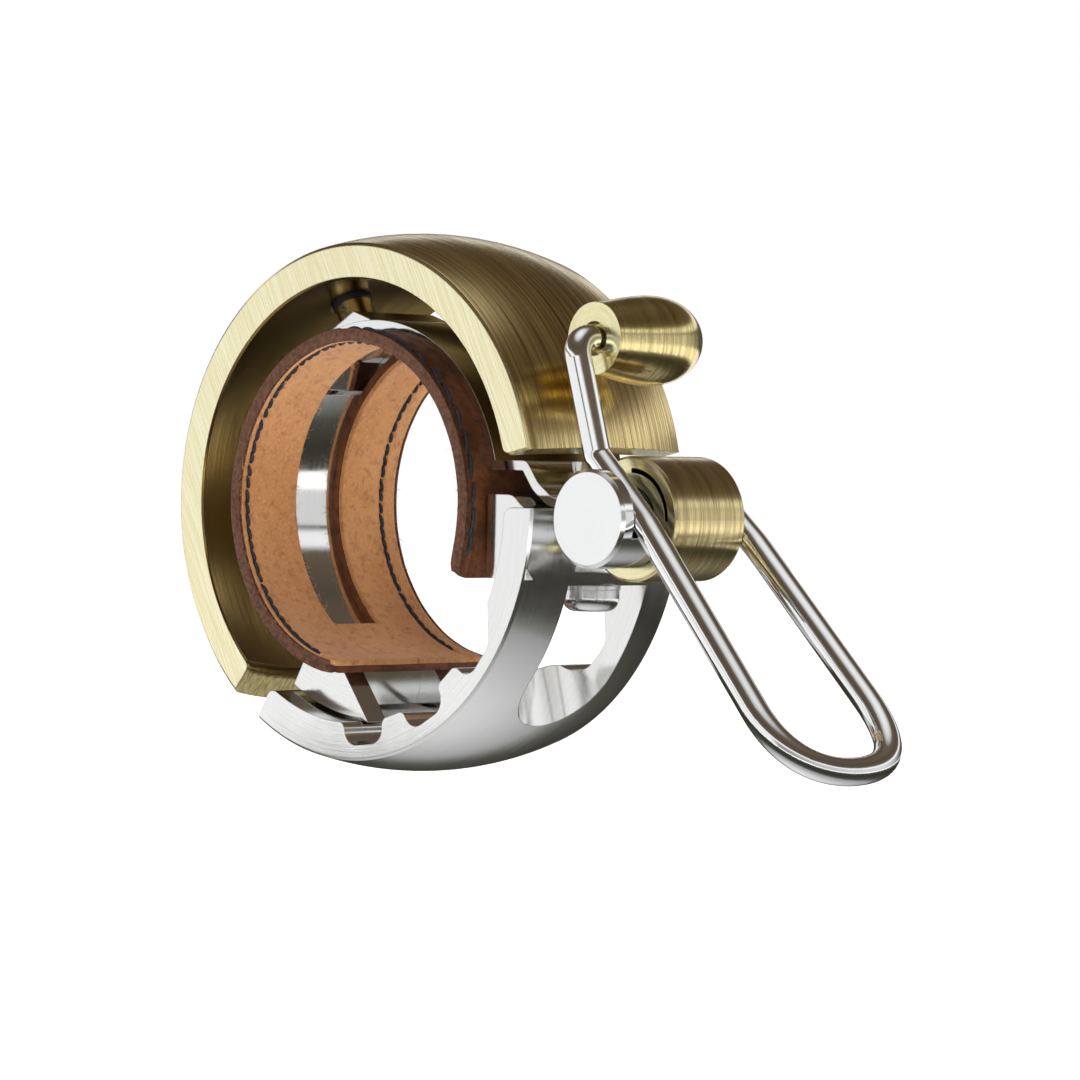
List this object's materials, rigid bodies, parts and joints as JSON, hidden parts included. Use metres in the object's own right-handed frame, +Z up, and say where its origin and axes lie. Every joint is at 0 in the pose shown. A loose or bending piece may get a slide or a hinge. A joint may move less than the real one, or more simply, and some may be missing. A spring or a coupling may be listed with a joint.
{
  "type": "bicycle bell",
  "caption": "Handlebar bell: a C-shaped brass ring on a leather-lined hinged clamp, struck by a sprung thumb lever with a barrel hammer.",
  "frame": {"origin": "on the handlebar's axis, at mid width of the clamp", "axes": "+Y along the handlebar, away from the face with the lever's hub; +Z up through the top of the ring; +X towards the thumb lever"},
  "size_m": [0.0903, 0.024, 0.054],
  "materials": {
    "brass_ring": "brushed",
    "brass_turned": "brushed",
    "steel_cast": "polished",
    "steel_strip": "polished",
    "chrome": "polished",
    "steel_dark": "satin",
    "steel_screw": "satin",
    "bronze": "satin",
    "nylon_black": "matt",
    "leather_smooth": "semi-gloss",
    "leather_suede": "matt"
  },
  "bodies": {
    "frame": {"frame": "steel_cast", "drum_housing": "brass_turned", "drum_end_cap": "brass_turned", "drum_screw": "steel_screw", "bush_front": "bronze", "bush_rear": "bronze", "return_spring": "steel_screw", "clamp_washer": "steel_screw"},
    "lever": {"lever_hub": "chrome", "arbor": "steel_dark", "lever_wire": "chrome", "hammer": "brass_turned", "rear_cap": "chrome", "rear_cap_screw": "steel_screw"},
    "upper_half": {"bell_ring": "brass_ring", "isolating_washer_inner": "nylon_black", "bell_post": "brass_turned", "isolating_washer_outer": "nylon_black", "bell_screw": "steel_screw", "clamp_strap": "steel_strip", "clamp_nut": "steel_screw", "strap_hook": "steel_cast", "hook_rivet_front": "steel_screw", "hook_rivet_rear": "steel_screw", "outer_leather": "leather_smooth", "suede_lining": "leather_suede"},
    "clamp_screw": {"clamp_screw": "steel_screw"}
  },
  "joints": [
    {"name": "lever_swing", "type": "hinge", "parent": "frame", "child": "lever", "pos_m": [0.0339, 0, -0.001], "axis": [0, 1, 0], "range_deg": [-5, 40], "stiffness_Nm_per_rad": 0.02},
    {"name": "clamp_lift", "type": "slide", "parent": "frame", "child": "upper_half", "axis": [0, 0, 1], "range_m": [0, 0.00075]},
    {"name": "clamp_screw_turn", "type": "hinge", "parent": "frame", "child": "clamp_screw", "pos_m": [0.0234, 0, 0], "axis": [0, 0, -1], "range_deg": [0, 540.5]}
  ],
  "couplings": [
    {"joint": "clamp_screw_turn", "follows": "clamp_lift", "rad_per_m": 12566}
  ]
}
